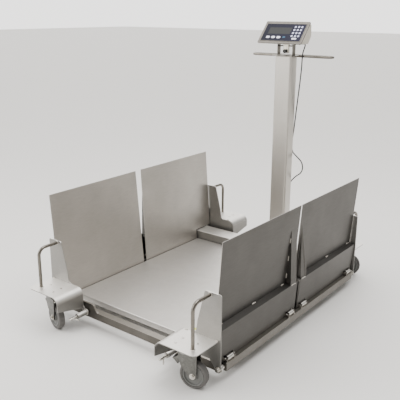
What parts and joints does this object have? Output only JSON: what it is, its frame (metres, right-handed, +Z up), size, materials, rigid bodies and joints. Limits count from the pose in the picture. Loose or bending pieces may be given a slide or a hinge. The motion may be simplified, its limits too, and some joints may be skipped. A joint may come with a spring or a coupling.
{
  "type": "animal weighing scale",
  "caption": "Mobile platform scale for animals: low stainless deck between fold-out side ramps, swing-up casters and an indicator on a column.",
  "frame": {"origin": "on the floor under the centre of the machine's bounding box", "axes": "+X to the machine's right seen from the loading end, +Y along the deck towards the indicator column, +Z up"},
  "size_m": [1.066, 1.59, 1.4294],
  "materials": {
    "stainless": "bead-blasted stainless",
    "tread": "rolled stainless sheet",
    "brushed": "lengthwise-ground stainless tube",
    "zinc": "bright zinc plate",
    "tyre": "light grey thermoplastic rubber",
    "black": "fine moulded",
    "overlay": "satin printed film",
    "case": "satin stainless",
    "alloy": "clear anodised"
  },
  "bodies": {
    "base_frame": {"side_rail_left": "stainless", "side_rail_right": "stainless", "front_rail": "stainless", "rear_rail": "stainless", "cross_bar_front": "stainless", "cross_bar_rear": "stainless", "rear_beam": "stainless", "column_foot": "stainless", "column": "brushed", "column_cap": "brushed", "handlebar": "brushed", "tilt_bracket": "brushed", "indicator_cable": "black"},
    "platform": {"deck": "tread", "junction_box": "stainless", "load_cell_front_left": "alloy", "load_cell_front_right": "alloy", "load_cell_rear_left": "alloy", "load_cell_rear_right": "alloy", "platform_foot_front_left": "zinc", "platform_foot_front_right": "zinc", "platform_foot_rear_left": "zinc", "platform_foot_rear_right": "zinc"},
    "indicator": {"indicator_housing": "case", "front_panel": "case", "keypad_overlay": "overlay", "tilt_knob": "black", "cable_gland": "black"},
    "ramp_front_left": {"ramp_front_left": "stainless"},
    "ramp_front_right": {"ramp_front_right": "stainless"},
    "ramp_rear_left": {"ramp_rear_left": "stainless"},
    "ramp_rear_right": {"ramp_rear_right": "stainless"},
    "caster_unit_front_left": {"caster_cover_front_left": "stainless", "lift_handle_front_left": "stainless", "caster_plate_front_left": "zinc"},
    "plunger_front_left": {"lock_plunger_front_left": "zinc"},
    "swivel_front_left": {"caster_fork_front_left": "zinc"},
    "wheel_front_left": {"caster_wheel_front_left": "tyre"},
    "pedal_front_left": {"brake_pedal_front_left": "zinc"},
    "caster_unit_front_right": {"caster_cover_front_right": "stainless", "lift_handle_front_right": "stainless", "caster_plate_front_right": "zinc"},
    "plunger_front_right": {"lock_plunger_front_right": "zinc"},
    "swivel_front_right": {"caster_fork_front_right": "zinc"},
    "wheel_front_right": {"caster_wheel_front_right": "tyre"},
    "pedal_front_right": {"brake_pedal_front_right": "zinc"},
    "caster_unit_rear_left": {"caster_cover_rear_left": "stainless", "lift_handle_rear_left": "stainless", "caster_plate_rear_left": "zinc"},
    "plunger_rear_left": {"lock_plunger_rear_left": "zinc"},
    "swivel_rear_left": {"caster_fork_rear_left": "zinc"},
    "wheel_rear_left": {"caster_wheel_rear_left": "tyre"},
    "pedal_rear_left": {"brake_pedal_rear_left": "zinc"},
    "caster_unit_rear_right": {"caster_cover_rear_right": "stainless", "lift_handle_rear_right": "stainless", "caster_plate_rear_right": "zinc"},
    "plunger_rear_right": {"lock_plunger_rear_right": "zinc"},
    "swivel_rear_right": {"caster_fork_rear_right": "zinc"},
    "wheel_rear_right": {"caster_wheel_rear_right": "tyre"},
    "pedal_rear_right": {"brake_pedal_rear_right": "zinc"}
  },
  "joints": [
    {"name": "platform_lift", "type": "slide", "parent": "base_frame", "child": "platform", "axis": [0, 0, 1], "range_m": [0, 0.044]},
    {"name": "ramp_fold_front_left", "type": "hinge", "parent": "base_frame", "child": "ramp_front_left", "pos_m": [-0.52, -0.3, 0.096], "axis": [0, -1, 0], "range_deg": [0, 95]},
    {"name": "ramp_fold_front_right", "type": "hinge", "parent": "base_frame", "child": "ramp_front_right", "pos_m": [0.52, -0.3, 0.096], "axis": [0, 1, 0], "range_deg": [0, 95]},
    {"name": "ramp_fold_rear_left", "type": "hinge", "parent": "base_frame", "child": "ramp_rear_left", "pos_m": [-0.52, 0.3, 0.096], "axis": [0, -1, 0], "range_deg": [0, 95]},
    {"name": "ramp_fold_rear_right", "type": "hinge", "parent": "base_frame", "child": "ramp_rear_right", "pos_m": [0.52, 0.3, 0.096], "axis": [0, 1, 0], "range_deg": [0, 95]},
    {"name": "unit_swing_front_left", "type": "hinge", "parent": "base_frame", "child": "caster_unit_front_left", "pos_m": [-0.515, -0.64, 0.0655], "axis": [0, -1, 0], "range_deg": [0, 90]},
    {"name": "plunger_slide_front_left", "type": "slide", "parent": "caster_unit_front_left", "child": "plunger_front_left", "axis": [0, 1, 0], "range_m": [0, 0.014]},
    {"name": "swivel_front_left", "type": "hinge", "parent": "caster_unit_front_left", "child": "swivel_front_left", "pos_m": [-0.42, -0.728, 0.16], "axis": [0, 0, 1], "continuous": true},
    {"name": "wheel_spin_front_left", "type": "hinge", "parent": "swivel_front_left", "child": "wheel_front_left", "pos_m": [-0.38507, -0.73671, 0.0625], "axis": [0.2419, 0.9703, 0], "continuous": true},
    {"name": "brake_press_front_left", "type": "hinge", "parent": "swivel_front_left", "child": "pedal_front_left", "pos_m": [-0.43552, -0.72413, 0.139], "axis": [-0.2419, -0.9703, 0], "range_deg": [0, 10], "stiffness_Nm_per_rad": 0.5, "springref_deg": -11.46},
    {"name": "unit_swing_front_right", "type": "hinge", "parent": "base_frame", "child": "caster_unit_front_right", "pos_m": [0.515, -0.64, 0.0655], "axis": [0, 1, 0], "range_deg": [0, 90]},
    {"name": "plunger_slide_front_right", "type": "slide", "parent": "caster_unit_front_right", "child": "plunger_front_right", "axis": [0, 1, 0], "range_m": [0, 0.014]},
    {"name": "swivel_front_right", "type": "hinge", "parent": "caster_unit_front_right", "child": "swivel_front_right", "pos_m": [0.42, -0.728, 0.16], "axis": [0, 0, 1], "continuous": true},
    {"name": "wheel_spin_front_right", "type": "hinge", "parent": "swivel_front_right", "child": "wheel_front_right", "pos_m": [0.45493, -0.71929, 0.0625], "axis": [-0.2419, 0.9703, 0], "continuous": true},
    {"name": "brake_press_front_right", "type": "hinge", "parent": "swivel_front_right", "child": "pedal_front_right", "pos_m": [0.40447, -0.73187, 0.139], "axis": [0.2419, -0.9703, 0], "range_deg": [0, 10], "stiffness_Nm_per_rad": 0.5, "springref_deg": -11.46},
    {"name": "unit_swing_rear_left", "type": "hinge", "parent": "base_frame", "child": "caster_unit_rear_left", "pos_m": [-0.515, 0.64, 0.0655], "axis": [0, -1, 0], "range_deg": [0, 90]},
    {"name": "plunger_slide_rear_left", "type": "slide", "parent": "caster_unit_rear_left", "child": "plunger_rear_left", "axis": [0, -1, 0], "range_m": [0, 0.014]},
    {"name": "swivel_rear_left", "type": "hinge", "parent": "caster_unit_rear_left", "child": "swivel_rear_left", "pos_m": [-0.42, 0.728, 0.16], "axis": [0, 0, 1], "continuous": true},
    {"name": "wheel_spin_rear_left", "type": "hinge", "parent": "swivel_rear_left", "child": "wheel_rear_left", "pos_m": [-0.45118, 0.746, 0.0625], "axis": [-0.5, -0.866, 0], "continuous": true},
    {"name": "brake_press_rear_left", "type": "hinge", "parent": "swivel_rear_left", "child": "pedal_rear_left", "pos_m": [-0.40614, 0.72, 0.139], "axis": [0.5, 0.866, 0], "range_deg": [0, 10], "stiffness_Nm_per_rad": 0.5, "springref_deg": -11.46},
    {"name": "unit_swing_rear_right", "type": "hinge", "parent": "base_frame", "child": "caster_unit_rear_right", "pos_m": [0.515, 0.64, 0.0655], "axis": [0, 1, 0], "range_deg": [0, 90]},
    {"name": "plunger_slide_rear_right", "type": "slide", "parent": "caster_unit_rear_right", "child": "plunger_rear_right", "axis": [0, -1, 0], "range_m": [0, 0.014]},
    {"name": "swivel_rear_right", "type": "hinge", "parent": "caster_unit_rear_right", "child": "swivel_rear_right", "pos_m": [0.42, 0.728, 0.16], "axis": [0, 0, 1], "continuous": true},
    {"name": "wheel_spin_rear_right", "type": "hinge", "parent": "swivel_rear_right", "child": "wheel_rear_right", "pos_m": [0.45118, 0.746, 0.0625], "axis": [-0.5, 0.866, 0], "continuous": true},
    {"name": "brake_press_rear_right", "type": "hinge", "parent": "swivel_rear_right", "child": "pedal_rear_right", "pos_m": [0.40614, 0.72, 0.139], "axis": [0.5, -0.866, 0], "range_deg": [0, 10], "stiffness_Nm_per_rad": 0.5, "springref_deg": -11.46},
    {"name": "indicator_tilt", "type": "hinge", "parent": "base_frame", "child": "indicator", "pos_m": [0, 0.69, 1.297], "axis": [1, 0, 0], "range_deg": [-10, 10], "deforming": ["indicator_cable"]}
  ]
}
